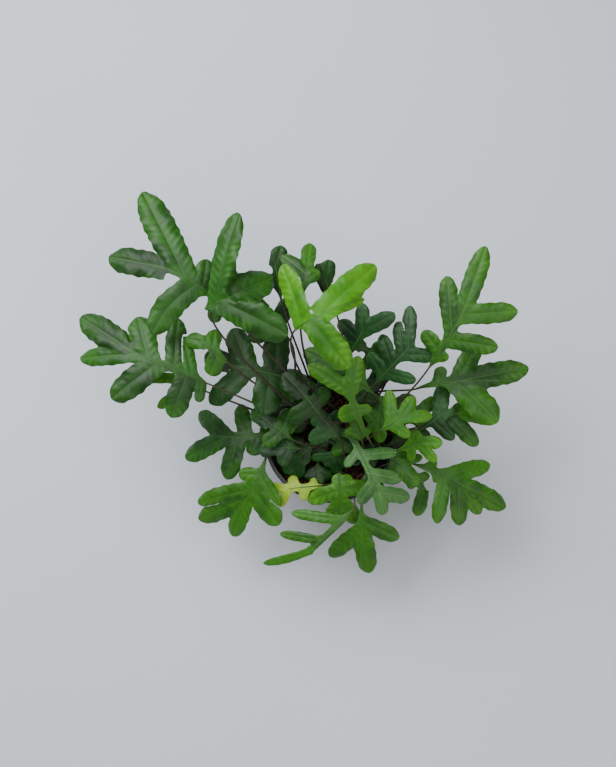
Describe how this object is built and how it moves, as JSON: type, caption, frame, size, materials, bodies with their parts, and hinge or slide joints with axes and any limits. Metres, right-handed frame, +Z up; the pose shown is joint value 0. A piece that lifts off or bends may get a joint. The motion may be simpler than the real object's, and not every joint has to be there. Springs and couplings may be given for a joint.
{
  "type": "potted kangaroo fern",
  "caption": "Potted kangaroo fern, a drynaria relative, with glossy lobed fronds arching from a round black nursery pot.",
  "frame": {"origin": "Centre of the pot's flat underside, on the surface that the pot stands on.", "axes": "+Z up out of the pot, -Y toward the lower edge of the picture, +X toward its right edge."},
  "size_m": [0.3937, 0.3219, 0.2465],
  "materials": {
    "leaf_blue": "blue-green leaf blades with a waxy sheen",
    "leaf_bright": "bright yellow-green young leaf blades with a soft sheen",
    "leaf_dark": "glossy dark green leaf blades with paler raised veins",
    "leaf_deep": "deep green leaf blades in the shade of the clump",
    "leaf_mid": "glossy mid green leaf blades",
    "leaf_pale": "pale green leaf blades with light margins",
    "leaf_yellow": "yellow-green new growth",
    "pot": "thin black nursery pot plastic, satin",
    "soil": "dark peat with orange-brown bark chips, matte"
  },
  "bodies": {
    "root": {"nursery_pot": "pot", "potting_soil": "soil", "frond_upper_left_outer": "leaf_dark", "frond_upper_left_inner": "leaf_dark", "frond_left_outer": "leaf_dark", "frond_left_inner": "leaf_deep", "frond_top_bright": "leaf_bright", "frond_middle_bright": "leaf_bright", "frond_middle_back": "leaf_mid", "frond_upper_dark": "leaf_blue", "frond_right_centre_blue": "leaf_blue", "frond_right_upper_outer": "leaf_mid", "frond_right_outer": "leaf_mid", "frond_right_lower_back": "leaf_mid", "frond_lower_right_outer": "leaf_mid", "frond_right_centre_bright": "leaf_bright", "frond_centre_right_small": "leaf_mid", "frond_right_lower_small": "leaf_bright", "frond_lower_pale": "leaf_pale", "frond_lower_centre": "leaf_bright", "frond_bottom_outer": "leaf_mid", "frond_bottom_narrow": "leaf_mid", "frond_young_yellow": "leaf_yellow", "frond_left_lower": "leaf_dark", "frond_lower_left_outer": "leaf_mid", "frond_centre_dark_left": "leaf_blue", "frond_centre_dark_front": "leaf_blue", "frond_front_left_round": "leaf_blue", "frond_left_small_edge": "leaf_mid", "frond_centre_mid_small": "leaf_mid", "frond_top_centre_back": "leaf_mid", "frond_top_left_dark": "leaf_deep", "frond_top_right_dark": "leaf_deep", "frond_upper_left_light": "leaf_mid", "frond_upper_centre_deep": "leaf_deep", "frond_right_back_dull": "leaf_mid", "frond_lower_right_mass": "leaf_mid", "frond_lower_right_yellow": "leaf_mid", "frond_right_lower_blue": "leaf_blue", "frond_left_under_yellow": "leaf_bright", "frond_centre_back_deep": "leaf_deep", "frond_north_deep_left": "leaf_deep", "frond_north_deep_right": "leaf_deep", "frond_east_deep": "leaf_deep", "frond_west_deep": "leaf_deep", "frond_south_deep": "leaf_deep", "frond_south_east_deep": "leaf_deep", "frond_east_low": "leaf_deep", "frond_centre_cover": "leaf_deep", "frond_centre_cover_left": "leaf_dark", "frond_front_left_edge": "leaf_blue", "frond_south_east_fill": "leaf_mid", "frond_east_fill": "leaf_dark", "frond_centre_low_mid": "leaf_mid", "frond_right_fill": "leaf_mid", "frond_front_deep": "leaf_deep"}
  },
  "joints": []
}
